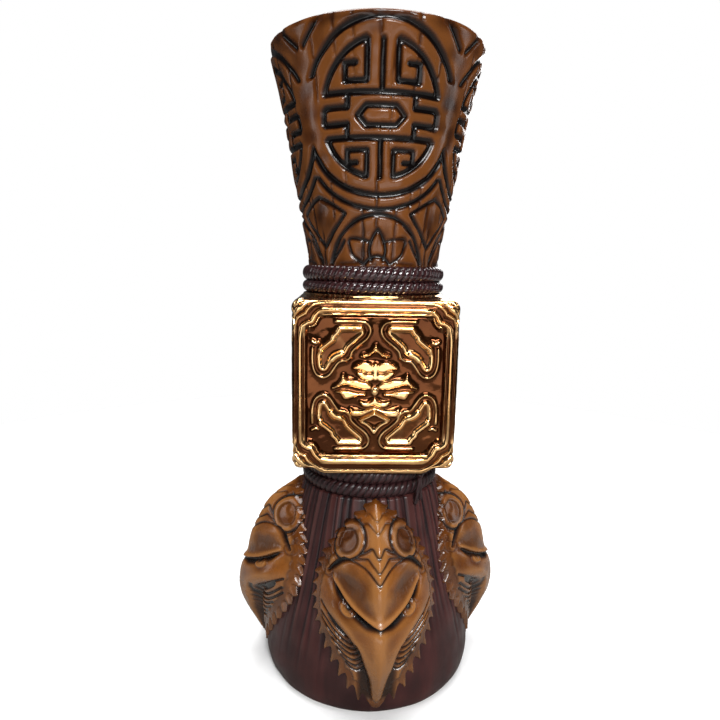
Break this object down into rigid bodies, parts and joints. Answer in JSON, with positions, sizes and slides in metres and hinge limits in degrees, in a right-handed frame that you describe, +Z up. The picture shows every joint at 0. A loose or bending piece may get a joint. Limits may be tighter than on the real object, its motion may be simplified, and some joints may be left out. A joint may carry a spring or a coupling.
{
  "type": "tiki mug",
  "caption": "Tall glazed ceramic tiki mug: flared carved cup, rope-bound neck, square gold-lustred block and a bell-shaped skirt carrying bird masks.",
  "frame": {"origin": "centre of the underside of the foot, at the height of the surface that the mug stands on", "axes": "+Z up along the mug's axis; the front face of the block looks towards -Y, and +X is to the right of someone facing it"},
  "size_m": [0.1144, 0.1144, 0.25],
  "materials": {
    "cup_glaze": "glossy amber-brown glaze with a dark wash in the carved lines",
    "mask_glaze": "satin to glossy amber-brown glaze, dark in the recesses and pale on the high edges",
    "gold_lustre": "bright metallic gold lustre over brown glaze",
    "rope_glaze": "glossy dark aubergine-brown glaze",
    "skirt_glaze": "satin maroon-brown glaze"
  },
  "bodies": {
    "root": {"cup_shell": "cup_glaze", "upper_rope_top": "rope_glaze", "upper_rope_bottom": "rope_glaze", "lower_rope_top": "rope_glaze", "lower_rope_bottom": "rope_glaze", "lower_rope_tail": "rope_glaze", "block_shell": "gold_lustre", "skirt_shell": "skirt_glaze", "block_panel_front": "gold_lustre", "mask_front": "mask_glaze", "block_panel_right": "gold_lustre", "mask_right": "mask_glaze", "block_panel_back": "gold_lustre", "mask_back": "mask_glaze", "block_panel_left": "gold_lustre", "mask_left": "mask_glaze"}
  },
  "joints": []
}
